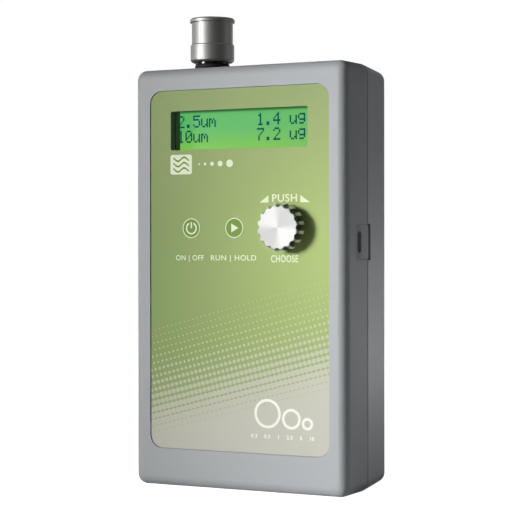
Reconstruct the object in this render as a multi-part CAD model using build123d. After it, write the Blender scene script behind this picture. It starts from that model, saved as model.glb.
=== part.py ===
"""Handheld airborne particle counter, standing on its base.  Millimetres, +Z up, front towards -Y.

Two moulded shells meet at an upright seam.  The front shell carries the printed panel, the display,
the keys, the turn-and-press knob and the main board.  The rear shell carries the air path (nozzle,
optical sensor, pump, filter) and the battery.
"""
from build123d import *
import os
from math import cos, radians, sin

# ---------------------------------------------------------------- case
case_width = 93.3          # at the seam, the widest place
case_height = 166.0
front_depth = 19.8         # front shell, face to seam
rear_depth = 22.7          # rear shell, seam to back
seam_y = -1.4              # seam plane, with the origin under the middle of the case
front_taper = 0.28         # mould draft of the front shell, as an inset at its face
rear_taper = 1.48          # mould draft of the rear shell, as an inset at its back
corner_radius = 4.0        # upright corners seen from the front
front_edge_radius = 3.7
rear_edge_radius = 3.9
wall = 2.2
lip_height = 1.6           # tongue of the rear shell inside the front shell
seam_chamfer = 0.25        # rear shell's edge at the seam
seam_groove_width = 0.4    # shadow groove in the front shell's edge
seam_groove_depth = 0.8
fit_gap = 0.15             # between pieces that are assembled side by side
seat_gap = 0.3             # between a loose-fitting unit and its seat
clear_cut = 1.0            # how far a cut starts outside the surface

# ---------------------------------------------------------------- printed panel
panel_side_margin = 7.4    # panel's edge to the sides of the case
panel_top_margin = 9.0
panel_bottom_margin = 15.0
panel_corner_radius = 5.2
panel_recess = 0.8
panel_thickness = 0.4

# ---------------------------------------------------------------- display
window_width = 58.5
window_height = 15.4
window_x = 0.85
window_below_top = 25.0    # window's middle under the top of the case
window_corner_radius = 0.8
lens_margin = 1.5          # how far the lens reaches under the panel
lens_thickness = 1.0
gasket_sleeve = 0.8        # gasket's sleeve in the window's opening
gasket_margin = 0.5        # gasket opening beyond the window, each side
gasket_width = 3.2
display_depth = 5.4        # panel recess floor to the front of the display's frame
frame_width = 71.2
frame_height = 26.8
frame_depth = 5.5
frame_sheet = 0.8
glass_thickness = 1.9
display_board_side = 6.65  # board's edge to the sides of the case
display_hole_inset = 2.5
board_thickness = 1.6

# ---------------------------------------------------------------- keys
key_xs = {"power": -20.6, "start": -1.5}
controls_below_top = 63.6  # keys and knob under the top of the case
key_radius = 4.0
key_hole_gap = 0.1
key_flange_radius = 5.0
key_flange = 0.8
key_stem_radius = 1.8
key_travel = 0.35
plunger_radius = 1.7
plunger_fit = 0.05
plunger_length = 2.9
switch_size = 6.2
switch_height = 3.5
key_foot_gap = 0.25        # plunger above its switch's travel

# ---------------------------------------------------------------- knob and encoder
knob_x = 20.3
knob_radius = 9.2          # over the tips between the flutes
knob_height = 6.0          # face of the knob above the case front
knob_thickness = 4.3
knob_chamfer = 1.0
knob_bevel_depth = 1.4
knob_dish = 0.2
knob_dish_rim = 0.4        # flat ring round the dished face
knob_draft = 0.2           # wider at the back by this much
flute_count = 16
flute_radius = 1.2
flute_depth = 1.5
flute_phase = 21.5         # degrees, first flute
hub_radius = 5.4
hub_gap = 0.5              # hub end above the panel, which it doesn't reach when pressed
shaft_radius = 3.0
shaft_flat = 1.5           # depth of the flat of the D section
shaft_fit = 0.05
bush_radius = 3.5
bush_length = 2.3
encoder_width = 12.0
encoder_height = 12.5
encoder_depth = 5.0
encoder_base_depth = 1.5
encoder_wall = 1.5
rotor_radius = 5.2
rotor_thickness = 3.0
rotor_gap = 0.2
shaft_end_gap = 0.7        # shaft end above the encoder base, room for the press
shaft_cover = 1.2          # knob's material in front of the shaft
set_screw_radius = 1.0
set_screw_depth = 4.2
set_screw_back = 0.4       # behind the middle of the knob's rim

# ---------------------------------------------------------------- main board and its parts
board_left_side = 4.85     # board's left edge to the side of the case
board_right_side = 8.65
main_board_bottom = 14.0
board_below_top = 54.0
board_hole_inset = 5.0
# packages soldered to the back of the board: x, z, width, height, depth
board_packages = [(0.0, 60.0, 14.0, 14.0, 1.6), (18.0, 78.0, 10.0, 8.0, 2.4), (-16.0, 84.0, 8.0, 8.0, 1.6),
                  (20.0, 40.0, 12.0, 10.0, 4.0), (-6.0, 30.0, 16.0, 6.0, 5.0), (26.0, 60.0, 5.0, 12.0, 2.0)]
socket_recess = 1.3        # socket mouths inside the outer wall
usb_below_trimmer = 20.0
usb_width = 7.7
usb_height = 3.9
usb_length = 9.0
usb_sheet = 0.4
usb_back = 2.0             # closed back of the shell
usb_tongue = 1.0
usb_tongue_recess = 1.5
jack_below_usb = 22.0
jack_width = 9.0
jack_height = 6.0
jack_length = 11.0
jack_bore_radius = 1.9
jack_pin_radius = 0.6
jack_flange = 1.0          # round mouth beyond the bore
jack_back = 2.0            # closed end behind the bore
jack_pin_recess = 1.0
trimmer_below_latch = 16.8
trimmer_width = 9.5
trimmer_height = 4.8
trimmer_length = 8.5
trimmer_screw_radius = 1.1
trimmer_screw_length = 3.0
trimmer_recess = 0.6       # body's face inside the wall
screw_slot = 0.5
screw_slot_depth = 0.6
socket_clearance = 0.6     # wall cut-out around a socket

# ---------------------------------------------------------------- screws and bosses
case_screw_side = 6.65     # case screws to the sides of the case
case_screw_bottom = 8.0
case_screw_below_top = 48.5
boss_radius = 3.2
small_boss_radius = 2.4
m3_radius = 1.45
m3_head_radius = 2.75
m3_head = 2.0
m25_radius = 1.2
m25_head_radius = 2.3
m25_head = 1.5
panel_screw_length = 6.0
cross_recess = 0.6
pilot_depth = 1.0          # pilot hole beyond the case screw's tip
screw_gap = 0.05           # thread to its pilot hole
pass_gap = 0.3             # thread to a clearance hole
case_thread = 8.0          # screw inside the front boss
counterbore_floor = 3.0    # material under the case screw's head

# ---------------------------------------------------------------- side latches
latch_below_top = 69.2     # latches' middle under the top of the case
latch_height = 14.1
latch_length = 10.85
latch_proud = 0.6          # at the seam; the pad is a wedge, flush at its front
latch_ramp = 3.0           # the pad rises quickly over this length, then slowly
latch_ramp_proud = 0.35
latch_top_chamfer = 0.9
latch_bottom_chamfer = 0.8
latch_gap = 0.9            # pad's end short of the seam
latch_slot_height = 8.3
latch_slot_width = 2.8
latch_slot_y = -9.9
latch_notch = 3.0
latch_notch_depth = 1.3
arm_thickness = 1.6
arm_root = 6.0             # arm's root ends this far behind the seam
arm_free = 1.0             # root starts this far behind the seam
nose_reach = 0.9           # share of the wall that the nose fills

# ---------------------------------------------------------------- inlet nozzle
nozzle_side = 19.45        # axis to the left side of the case
nozzle_y = 9.0
nozzle_rise = 22.8         # all these heights are above the top of the case
rim_radius = 9.2
rim_height = 1.75
rim_chamfer = 0.5
rim_step = 0.2
nozzle_radius = 8.45
skirt_radius = 9.0
skirt_top_rise = 12.1
skirt_bottom_rise = 4.9
skirt_chamfer = 0.7
skirt_top_chamfer = 0.3
mouth_radius = 7.0
mouth_depth = 6.0
nozzle_bore_radius = 3.2
stem_radius = 5.0
stem_rise = 11.9
stem_bore_radius = 1.6
collar_radius = 7.2
collar_disc = 0.9
collar_disc_inset = 0.2
seal_section = 0.9         # radius of the O-ring's section
pad_radius = 8.5
nut_across = 13.0
nut_height = 3.0
nut_seat = 4.0             # under the pad's face
stem_end = 3.0             # stem below its nut
barb_radius = 2.35
barb_length = 6.0

# ---------------------------------------------------------------- optical sensor
block_side = 5.15          # block's left face to the side of the case
block_width = 32.5
block_height = 20.5
block_below_top = 24.0
block_front = -1.0
block_back = 15.0
beam_below_top = 34.2      # laser beam under the top of the case
cover_thickness = 2.0
block_hole_inset = 2.6
laser_radius = 4.5
laser_length = 27.0
laser_depth = 8.5
laser_throat = 3.0
beam_radius = 2.0
trap_radius = 4.5
trap_cone_tip = 0.4
trap_floor = 1.0           # material behind the trap's cone
trap_length = 6.0
trap_depth = 5.0
detector_radius = 4.6
detector_depth = 4.0
detector_board_width = 16.0
detector_board_height = 18.0
mirror_radius = 9.0
mirror_thickness = 2.0
mirror_edge = 1.0          # thickness left at the middle of the dished mirror
mirror_curve = 25.2        # radius of its reflecting face
chamber_radius = 8.0
chamber_front = 5.0
bore_fit = 0.1

# ---------------------------------------------------------------- pump, filter, tubes
pump_above_battery = 23.2  # motor's axis above the battery
pump_y = 7.3
head_side = 8.65           # head's left face to the side of the case
head_width = 24.0
head_depth = 20.0
head_height = 28.0
head_wall = 3.0
motor_radius = 11.0
motor_length = 30.0
motor_cap = 2.0
crank_shaft_radius = 1.0
crank_bearing = 12.0
crank_radius = 4.5
crank_offset = 1.2
crank_width = 8.0
crank_gap = 2.0            # crank's disc to the motor
crank_chamber_radius = 7.0
outlet_pitch = 9.2         # pump's outlet to its inlet
filter_above_head = 12.6
filter_from_outlet = 16.0
filter_length = 24.0
filter_radius = 8.0
filter_end_radius = 6.0
filter_end = 4.0
filter_port_depth = 2.0
filter_saddle_pitch = 12.0
saddle_thickness = 2.0
saddle_height = 1.5        # rib's height, as a share of the unit's radius
saddle_start = 0.55        # rib's front edge behind the axis, likewise
motor_saddle_inset = 3.0
tube_radius = 3.2
tube_bend = 7.0
tube_stop = 0.4
vent_count = 5
vent_pitch = 4.0
vent_height = 1.6
vent_length = 12.0
vent_y = 9.0

# ---------------------------------------------------------------- battery and straps
cell_radius = 9.2
battery_length = 68.0
battery_bottom = 16.0
strap_width = 10.0
strap_sheet = 1.0
strap_foot = 8.0
strap_boss = 2.0           # height of the bosses under the feet
strap_slack = 0.4
battery_strap_x = 0.0
pump_strap_from_head = 24.0

# ---------------------------------------------------------------- level base under the rear shell
base_width = 60.0
base_end = 4.8             # back edge of the base, short of the back of the case

# ---------------------------------------------------------------- derived places
side_x = case_width / 2
panel_width = case_width - 2 * panel_side_margin
panel_height = case_height - panel_top_margin - panel_bottom_margin
panel_centre_z = panel_bottom_margin + panel_height / 2
window_z = case_height - window_below_top
display_board_width = case_width - 2 * display_board_side
display_hole_pitch_x = display_board_width - 2 * display_hole_inset
display_hole_pitch_z = frame_height + 2 * (small_boss_radius + fit_gap)
display_board_height = display_hole_pitch_z + 2 * display_hole_inset
control_z = case_height - controls_below_top
latch_z = case_height - latch_below_top
trimmer_z = latch_z - trimmer_below_latch
usb_z = trimmer_z - usb_below_trimmer
jack_z = usb_z - jack_below_usb
main_board_left = board_left_side - side_x
main_board_right = side_x - board_right_side
main_board_top = case_height - board_below_top
nozzle_x = nozzle_side - side_x
nozzle_top = case_height + nozzle_rise
skirt_top = case_height + skirt_top_rise
skirt_bottom = case_height + skirt_bottom_rise
stem_top = case_height + stem_rise
block_left = block_side - side_x
block_right = block_left + block_width
block_top = case_height - block_below_top
block_bottom = block_top - block_height
sensor_z = case_height - beam_below_top
battery_top = battery_bottom + 4 * cell_radius
pump_z = battery_top + pump_above_battery
head_left = head_side - side_x
head_right = head_left + head_width
head_top = pump_z + head_height / 2
outlet_x = nozzle_x + outlet_pitch
filter_z = head_top + filter_above_head
filter_left = outlet_x + filter_from_outlet
pump_strap_x = head_right + pump_strap_from_head
front_y = seam_y - front_depth
back_y = seam_y + rear_depth
recess_y = front_y + panel_recess
panel_face_y = recess_y - panel_thickness
inner_front_y = recess_y + wall
inner_back_y = back_y - wall
display_front_y = recess_y + display_depth
display_back_y = display_front_y + frame_depth
encoder_back_y = inner_front_y + encoder_depth
board_front_y = encoder_back_y + encoder_base_depth
board_back_y = board_front_y + board_thickness
hub_end_y = panel_face_y - hub_gap
knob_face_y = front_y - knob_height
knob_back_y = knob_face_y + knob_thickness
cell_y = inner_back_y - seat_gap - cell_radius
cover_back_y = block_back + cover_thickness


# ================================================================ helpers
def plate(outline, y_from, y_to):
    """Solid with an outline drawn in X and Z, from one depth back to another."""
    return extrude(Plane.XZ.offset(-y_to) * outline, amount=y_to - y_from)


def rod_y(radius, x, z, y_from, y_to):
    return plate(Pos(x, z) * Circle(radius), y_from, y_to)


def rod_x(radius, y, z, x_from, x_to):
    return extrude(Plane.YZ.offset(x_from) * Pos(y, z) * Circle(radius), amount=x_to - x_from)


def rod_z(radius, x, y, z_from, z_to):
    return extrude(Plane.XY.offset(z_from) * Pos(x, y) * Circle(radius), amount=z_to - z_from)


def block(x0, x1, y0, y1, z0, z1):
    """Box between two corners, given in either order."""
    return Pos((x0 + x1) / 2, (y0 + y1) / 2, (z0 + z1) / 2) * Box(abs(x1 - x0), abs(y1 - y0), abs(z1 - z0))


def ring_y(outer, inner, x, z, y_from, y_to):
    return rod_y(outer, x, z, y_from, y_to) - rod_y(inner, x, z, y_from, y_to)


def turned(points, x, y):
    """Solid of revolution about an upright axis, from (radius, height) points."""
    outline = Plane.XZ * make_face(Polyline(*points, close=True))
    return Pos(x, y, 0) * revolve(outline, Axis.Z)


def joined(shapes):
    """All the shapes fused into one."""
    total = shapes[0]
    for shape in shapes[1:]:
        total = total + shape
    return total


def group(shapes):
    """Separate solids kept in one node."""
    return Compound(children=[solid for shape in shapes for solid in shape.solids()])


def outline_at(inset_sides, inset_top, inset_bottom, radius):
    """Rounded outline of the case in X and Z, inset from its size at the seam."""
    height = case_height - inset_top - inset_bottom
    middle = inset_bottom + height / 2
    return Pos(0, middle) * RectangleRounded(case_width - 2 * inset_sides, height, radius)


def tapered(y_wide, y_narrow, taper, taper_bottom, inset, radius):
    """Body between the seam and one end, narrowed there by the mould's draft."""
    wide = Plane.XZ.offset(-y_wide) * outline_at(inset, inset, inset, radius)
    narrow_outline = outline_at(inset + taper, inset + taper, inset + taper_bottom, radius)
    narrow = Plane.XZ.offset(-y_narrow) * narrow_outline
    return loft([wide, narrow])


def even_outline(inset, radius):
    return outline_at(inset, inset, inset, radius)


def wall_x(y):
    """Half width of the case at a given depth."""
    if y <= seam_y:
        return side_x - front_taper * (seam_y - y) / front_depth
    return side_x - rear_taper * (y - seam_y) / rear_depth


# ================================================================ shells
def lip_outline(gap):
    return even_outline(wall / 2 + gap, corner_radius - wall / 2)


def make_front_shell():
    body = tapered(seam_y, front_y, front_taper, 0, 0, corner_radius)
    body = fillet(body.faces().sort_by(Axis.Y)[0].edges(), front_edge_radius)
    body -= tapered(seam_y, inner_front_y, front_taper, 0, wall, corner_radius - wall)
    panel = Pos(0, panel_centre_z) * RectangleRounded(panel_width, panel_height, panel_corner_radius)
    body -= plate(panel, front_y, recess_y)

    # Wedge-shaped latch pads on both sides, each with a slot for the rear shell's catch
    for side in (-1, 1):
        body += latch_pad(side)
        body -= latch_slot(side)

    # Pocket for the rear shell's tongue, and the shadow groove round the outside
    body -= plate(lip_outline(0), seam_y - lip_height - fit_gap, seam_y)
    groove = even_outline(0, corner_radius) - even_outline(seam_groove_depth, corner_radius - seam_groove_depth)
    body -= plate(groove, seam_y - seam_groove_width, seam_y)

    # Bosses behind the face for the case screws, the display and the main board
    for x, z in case_screw_points():
        body += rod_y(boss_radius, x, z, inner_front_y, seam_y)
        body -= rod_y(m3_radius + screw_gap, x, z, seam_y - case_thread - pilot_depth, seam_y)
    for x, z in display_screw_points():
        body += rod_y(small_boss_radius, x, z, inner_front_y, display_back_y)
        body -= rod_y(m25_radius + screw_gap, x, z, display_back_y - panel_screw_length, display_back_y)
    for x, z in board_screw_points():
        body += rod_y(small_boss_radius, x, z, inner_front_y, board_front_y)
        body -= rod_y(m25_radius + screw_gap, x, z, board_front_y - panel_screw_length, board_front_y)

    # Window with a rebate for its lens, key holes and the hole for the encoder's bush
    body -= plate(window_outline(gasket_sleeve + fit_gap), front_y, seam_y - lip_height)
    body -= plate(window_outline(lens_margin + fit_gap), front_y, recess_y + lens_thickness)
    for x in key_xs.values():
        body -= rod_y(key_radius + key_hole_gap, x, control_z, front_y, inner_front_y)
    body -= rod_y(bush_radius + fit_gap, knob_x, control_z, front_y, inner_front_y)

    # Cut-outs in the left wall for the charger jack, the USB socket and the flow adjuster
    outside = -side_x - clear_cut
    inside = -side_x + wall + clear_cut
    body -= block(outside, inside, board_back_y - socket_clearance,
                  board_back_y + usb_height + socket_clearance,
                  usb_z - usb_width / 2 - socket_clearance, usb_z + usb_width / 2 + socket_clearance)
    body -= rod_x(jack_bore_radius + jack_flange + socket_clearance, board_back_y + jack_height / 2,
                  jack_z, outside, inside)
    body -= rod_x(trimmer_screw_radius + socket_clearance, board_back_y + trimmer_height / 2, trimmer_z,
                  outside, inside)
    return body


def latch_pad(side):
    """Pad that rises out of the side wall towards the seam, with its upper and lower ends chamfered."""
    start = seam_y - latch_length
    end = seam_y - latch_gap
    inner = side * (side_x - wall)
    face = side * wall_x(start)
    top = side * (side_x + latch_proud)
    low = latch_z - latch_height / 2
    high = latch_z + latch_height / 2
    ramp = (side * (side_x + latch_ramp_proud), start + latch_ramp)
    side_view = make_face(Polyline((inner, start), (face, start), ramp, (top, end), (inner, end), close=True))
    wedge = extrude(Plane.XY.offset(low) * side_view, amount=latch_height)
    ends = make_face(Polyline((inner, low), (face, low), (top, low + latch_bottom_chamfer),
                              (top, high - latch_top_chamfer), (face, high), (inner, high), close=True))
    return wedge & plate(ends, start, end)


def latch_slot(side):
    outline = Pos(latch_slot_y, latch_z) * Rot(0, 0, 90) * SlotOverall(latch_slot_height, latch_slot_width)
    middle = Plane.YZ.offset(side * (side_x - wall / 2))
    return extrude(middle * outline, amount=wall / 2 + clear_cut, both=True)


def window_outline(margin):
    width = window_width + 2 * margin
    height = window_height + 2 * margin
    return Pos(window_x, window_z) * RectangleRounded(width, height, window_corner_radius)


def case_screw_points():
    x = side_x - case_screw_side
    return [(side * x, z) for side in (-1, 1) for z in (case_screw_bottom, case_height - case_screw_below_top)]


def display_screw_points():
    return [(window_x + i * display_hole_pitch_x / 2, window_z + j * display_hole_pitch_z / 2)
            for i in (-1, 1) for j in (-1, 1)]


def board_screw_points():
    return [(x, z)
            for x in (main_board_left + board_hole_inset, main_board_right - board_hole_inset)
            for z in (main_board_bottom + board_hole_inset, main_board_top - board_hole_inset)]


def sensor_screw_points():
    return [(x, z)
            for x in (block_left + block_hole_inset, block_right - block_hole_inset)
            for z in (block_bottom + block_hole_inset, block_top - block_hole_inset)]


def strap_screw_points():
    foot = strap_sheet + strap_foot / 2
    return [(battery_strap_x, battery_bottom - foot), (battery_strap_x, battery_top + foot),
            (pump_strap_x, pump_z - motor_radius - foot), (pump_strap_x, pump_z + motor_radius + foot)]


strap_seat_y = inner_back_y - strap_boss


def make_rear_shell():
    edge_y = seam_y + seam_chamfer
    body = tapered(edge_y, back_y, rear_taper, rear_taper, 0, corner_radius)
    body = fillet(body.faces().sort_by(Axis.Y)[-1].edges(), rear_edge_radius)
    body += loft([Plane.XZ.offset(-seam_y) * even_outline(seam_chamfer, corner_radius - seam_chamfer),
                  Plane.XZ.offset(-edge_y) * even_outline(0, corner_radius)])
    body += block(-base_width / 2, base_width / 2, edge_y, back_y - base_end, 0, wall)
    body += rod_z(pad_radius, nozzle_x, nozzle_y, case_height - wall, case_height)
    body -= tapered(seam_y, inner_back_y, rear_taper, rear_taper, wall, corner_radius - wall)

    # Tongue that enters the front shell
    tongue = lip_outline(fit_gap) - even_outline(wall, corner_radius - wall)
    body += plate(tongue, seam_y - lip_height, edge_y)

    # Shallow finger notches beside the latches, and the sprung arms whose noses fill their slots
    for side in (-1, 1):
        face = side * side_x
        body -= block(face - side * latch_notch_depth, face + side * clear_cut, seam_y, seam_y + latch_notch,
                      latch_z - latch_height / 2, latch_z + latch_height / 2)
        body += latch_arm(side)

    # Screw tubes, open at the back for the heads
    for x, z in case_screw_points():
        body += rod_y(boss_radius, x, z, seam_y, inner_back_y + wall / 2)
        body -= rod_y(m3_radius + pass_gap, x, z, seam_y, back_y)
        body -= rod_y(m3_head_radius + pass_gap / 2, x, z, seam_y + counterbore_floor, back_y)

    # Nozzle hole with a flat seat for its nut
    body += rod_z(pad_radius, nozzle_x, nozzle_y, case_height - nut_seat, case_height - wall / 2)
    body -= rod_z(stem_radius + fit_gap, nozzle_x, nozzle_y, case_height - nut_seat, case_height)

    # Bosses for the sensor block and the two straps
    for x, z in sensor_screw_points():
        body += rod_y(boss_radius, x, z, cover_back_y, inner_back_y + wall / 2)
        body -= rod_y(m3_radius + screw_gap, x, z, cover_back_y, inner_back_y + wall / 2)
    for x, z in strap_screw_points():
        body += rod_y(boss_radius, x, z, strap_seat_y, inner_back_y + wall / 2)
        body -= rod_y(m3_radius + screw_gap, x, z, strap_seat_y, inner_back_y + wall / 2)

    # Saddles under the pump motor and the filter
    for x in (head_right + motor_saddle_inset, head_right + motor_length - motor_saddle_inset):
        body += saddle(x, pump_z, pump_y, motor_radius)
    filter_middle = filter_left + filter_length / 2
    for x in (filter_middle - filter_saddle_pitch / 2, filter_middle + filter_saddle_pitch / 2):
        body += saddle(x, filter_z, nozzle_y, filter_radius)

    # Air outlet slots in the left wall
    for i in range(vent_count):
        z = pump_z + (i - (vent_count - 1) / 2) * vent_pitch
        slot = Pos(vent_y, z) * SlotOverall(vent_length, vent_height)
        body -= extrude(Plane.YZ.offset(-side_x - clear_cut) * slot, amount=wall + rear_taper + 2 * clear_cut)
    return body


def saddle(x, z, y, radius):
    """Upright rib with a round seat."""
    half = radius * saddle_height / 2
    left = x - saddle_thickness / 2
    right = x + saddle_thickness / 2
    rib = block(left, right, y + radius * saddle_start, inner_back_y + wall / 2, z - half, z + half)
    return rib - rod_x(radius + bore_fit, y, z, left, right)


def latch_arm(side):
    """Sprung arm from the rear wall, with a nose that stands in the front shell's slot."""
    outer = side_x - wall - front_taper - fit_gap
    low = latch_z - latch_slot_height / 2 + latch_slot_width / 2
    high = latch_z + latch_slot_height / 2 - latch_slot_width / 2
    arm = block(side * (outer - arm_thickness), side * outer, latch_slot_y - latch_slot_width / 2,
                seam_y + arm_root, low, high)
    root = block(side * (outer - arm_thickness), side * (wall_x(seam_y + arm_root) - wall / 2),
                 seam_y + arm_free, seam_y + arm_root, low, high)
    nose = block(side * (outer - arm_thickness), side * (outer + wall * nose_reach),
                 latch_slot_y - latch_slot_width / 2 + seat_gap, latch_slot_y + seat_gap / 2, low, high)
    return arm + root + nose


# ================================================================ printed panel and window
def make_front_label():
    width = panel_width - 2 * fit_gap
    height = panel_height - 2 * fit_gap
    outline = Pos(0, panel_centre_z) * RectangleRounded(width, height, panel_corner_radius - fit_gap)
    sheet = plate(outline, panel_face_y, recess_y) - plate(window_outline(0), panel_face_y, recess_y)
    for x in key_xs.values():
        sheet -= rod_y(key_radius + key_hole_gap, x, control_z, panel_face_y, recess_y)
    return sheet - rod_y(bush_radius + fit_gap, knob_x, control_z, panel_face_y, recess_y)


def make_display_window():
    return plate(window_outline(lens_margin), recess_y, recess_y + lens_thickness)


def make_display_gasket():
    outer = window_outline(gasket_margin + gasket_width)
    inner = window_outline(gasket_margin)
    flange = plate(outer - inner, inner_front_y, display_front_y)
    sleeve = window_outline(gasket_sleeve) - window_outline(0)
    return flange + plate(sleeve, recess_y + lens_thickness, inner_front_y)


# ================================================================ display module
def display_plate(width, height, y_from, y_to):
    return plate(Pos(window_x, window_z) * Rectangle(width, height), y_from, y_to)


def make_lcd_bezel():
    frame = display_plate(frame_width, frame_height, display_front_y, display_back_y)
    frame -= display_plate(frame_width - 2 * frame_sheet, frame_height - 2 * frame_sheet,
                           display_front_y + frame_sheet, display_back_y)
    return frame - plate(window_outline(2 * gasket_margin), display_front_y,
                         display_front_y + frame_sheet)


glass_front_y = display_front_y + frame_sheet
glass_back_y = glass_front_y + glass_thickness
glass_width = frame_width - 2 * (frame_sheet + seat_gap)
glass_height = frame_height - 2 * (frame_sheet + seat_gap)


def make_lcd_glass():
    return display_plate(glass_width, glass_height, glass_front_y, glass_back_y)


def make_lcd_backlight():
    return display_plate(glass_width, glass_height, glass_back_y, display_back_y)


def make_lcd_board():
    board = display_plate(display_board_width, display_board_height, display_back_y,
                          display_back_y + board_thickness)
    for x, z in display_screw_points():
        board -= rod_y(m25_radius + pass_gap, x, z, display_back_y, display_back_y + board_thickness)
    return board


# ================================================================ keys
def make_key(x):
    stem_end = panel_face_y + panel_thickness + wall + seat_gap / 2 + key_flange
    cap = rod_y(key_radius, x, control_z, panel_face_y, stem_end)
    flange = rod_y(key_flange_radius, x, control_z, stem_end - key_flange, stem_end)
    return cap + flange + rod_y(key_stem_radius, x, control_z, stem_end, key_foot_y)


key_foot_y = board_front_y - switch_height - plunger_length / 2 - key_foot_gap


def make_plunger(x):
    return rod_y(plunger_radius, x, control_z, key_foot_y, key_foot_y + plunger_length)


def make_switch(x):
    half = switch_size / 2
    body = block(x - half, x + half, board_front_y - switch_height, board_front_y,
                 control_z - half, control_z + half)
    bore_end = key_foot_y + plunger_length + key_travel + fit_gap
    return body - rod_y(plunger_radius + plunger_fit, x, control_z, board_front_y - switch_height, bore_end)


# ================================================================ knob and encoder
def d_section(gap):
    """Round section with a flat, at the knob's axis."""
    reach = shaft_radius + gap
    flat = Pos(0, reach + shaft_radius - shaft_flat + gap) * Rectangle(4 * reach, 2 * reach)
    return Pos(knob_x, control_z) * (Circle(reach) - flat)


def make_knob():
    tips = Circle(knob_radius + knob_draft)
    centre = knob_radius - flute_depth + flute_radius
    for i in range(flute_count):
        angle = radians(flute_phase + i * 360 / flute_count)
        tips -= Pos(centre * cos(angle), centre * sin(angle)) * Circle(flute_radius)
    fluted = plate(Pos(knob_x, control_z) * tips, knob_face_y, knob_back_y)
    face_radius = knob_radius - knob_chamfer
    profile = make_face(Polyline((0, knob_dish), (face_radius - knob_dish_rim, 0), (face_radius, 0),
                                 (knob_radius, knob_bevel_depth), (knob_radius + knob_draft, knob_thickness),
                                 (0, knob_thickness), close=True))
    envelope = revolve(Plane(origin=(knob_x, knob_face_y, control_z), x_dir=(1, 0, 0),
                             z_dir=(0, 0, 1)) * profile, Axis((knob_x, 0, control_z), (0, 1, 0)))
    knob = fluted & envelope
    knob += rod_y(hub_radius, knob_x, control_z, knob_back_y, hub_end_y)
    knob -= plate(d_section(0), shaft_front_y, hub_end_y)
    return knob - knob_screw_hole(set_screw_radius)


shaft_front_y = knob_face_y + shaft_cover
set_screw_y = (knob_back_y + knob_face_y) / 2 + set_screw_back


def knob_screw_hole(radius):
    low = control_z - knob_radius
    return rod_z(radius, knob_x, set_screw_y, low, control_z - shaft_radius)


def make_set_screw():
    top = control_z - shaft_radius
    return rod_z(set_screw_radius, knob_x, set_screw_y, top - set_screw_depth, top)


shaft_back_y = encoder_back_y - shaft_end_gap


def make_encoder_shaft():
    return plate(d_section(0), shaft_front_y, shaft_back_y)


def encoder_box(y_from, y_to):
    return plate(Pos(knob_x, control_z) * Rectangle(encoder_width, encoder_height), y_from, y_to)


def make_encoder_body():
    body = encoder_box(inner_front_y, encoder_back_y)
    body += rod_y(bush_radius, knob_x, control_z, inner_front_y - bush_length, inner_front_y)
    body -= rod_y(rotor_radius + rotor_gap, knob_x, control_z, inner_front_y + encoder_wall, encoder_back_y)
    return body - rod_y(shaft_radius + shaft_fit, knob_x, control_z, inner_front_y - bush_length,
                        encoder_back_y)


def make_encoder_base():
    return encoder_box(encoder_back_y, board_front_y)


def make_encoder_rotor():
    start = inner_front_y + encoder_wall + rotor_gap
    disc = rod_y(rotor_radius, knob_x, control_z, start, start + rotor_thickness)
    return disc - plate(d_section(shaft_fit), start, start + rotor_thickness)


# ================================================================ main board and sockets
def make_main_board():
    board = block(main_board_left, main_board_right, board_front_y, board_back_y,
                  main_board_bottom, main_board_top)
    for x, z in board_screw_points():
        board -= rod_y(m25_radius + pass_gap, x, z, board_front_y, board_back_y)
    return board


def make_board_parts():
    return group([block(x - w / 2, x + w / 2, board_back_y, board_back_y + d, z - h / 2, z + h / 2)
                  for x, z, w, h, d in board_packages])


socket_mouth_x = socket_recess - side_x


def make_usb_socket():
    mouth = socket_mouth_x
    shell = block(mouth, mouth + usb_length, board_back_y, board_back_y + usb_height,
                  usb_z - usb_width / 2, usb_z + usb_width / 2)
    shell -= block(mouth, mouth + usb_length - usb_back, board_back_y + usb_sheet,
                   board_back_y + usb_height - usb_sheet,
                   usb_z - usb_width / 2 + usb_sheet, usb_z + usb_width / 2 - usb_sheet)
    middle = board_back_y + usb_height / 2
    return shell + block(mouth + usb_tongue_recess, mouth + usb_length, middle - usb_tongue / 2,
                         middle + usb_tongue / 2, usb_z - usb_width / 4, usb_z + usb_width / 4)


def make_charger_jack():
    mouth = socket_mouth_x
    axis_y = board_back_y + jack_height / 2
    body = block(mouth, mouth + jack_length, board_back_y, board_back_y + jack_height,
                 jack_z - jack_width / 2, jack_z + jack_width / 2)
    body = body & (rod_x(jack_bore_radius + jack_flange, axis_y, jack_z, mouth, mouth + wall + clear_cut)
                   + block(mouth + wall + fit_gap, mouth + jack_length, board_back_y,
                           board_back_y + jack_height, jack_z - jack_width / 2, jack_z + jack_width / 2))
    body -= rod_x(jack_bore_radius, axis_y, jack_z, mouth, mouth + jack_length - jack_back)
    return body + rod_x(jack_pin_radius, axis_y, jack_z, mouth + jack_pin_recess, mouth + jack_length)


trimmer_face_x = wall + front_taper + fit_gap + trimmer_recess - side_x
trimmer_axis_y = board_back_y + trimmer_height / 2


def make_trimmer_body():
    body = block(trimmer_face_x, trimmer_face_x + trimmer_length, board_back_y,
                 board_back_y + trimmer_height, trimmer_z - trimmer_width / 2,
                 trimmer_z + trimmer_width / 2)
    return body - rod_x(trimmer_screw_radius + plunger_fit, trimmer_axis_y, trimmer_z, trimmer_face_x,
                        trimmer_face_x + trimmer_screw_length / 2 + fit_gap)


def make_trimmer_screw():
    start = trimmer_face_x - trimmer_screw_length / 2
    screw = rod_x(trimmer_screw_radius, trimmer_axis_y, trimmer_z, start, start + trimmer_screw_length)
    return screw - block(start, start + screw_slot_depth, trimmer_axis_y - trimmer_screw_radius,
                         trimmer_axis_y + trimmer_screw_radius, trimmer_z - screw_slot / 2,
                         trimmer_z + screw_slot / 2)


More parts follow.
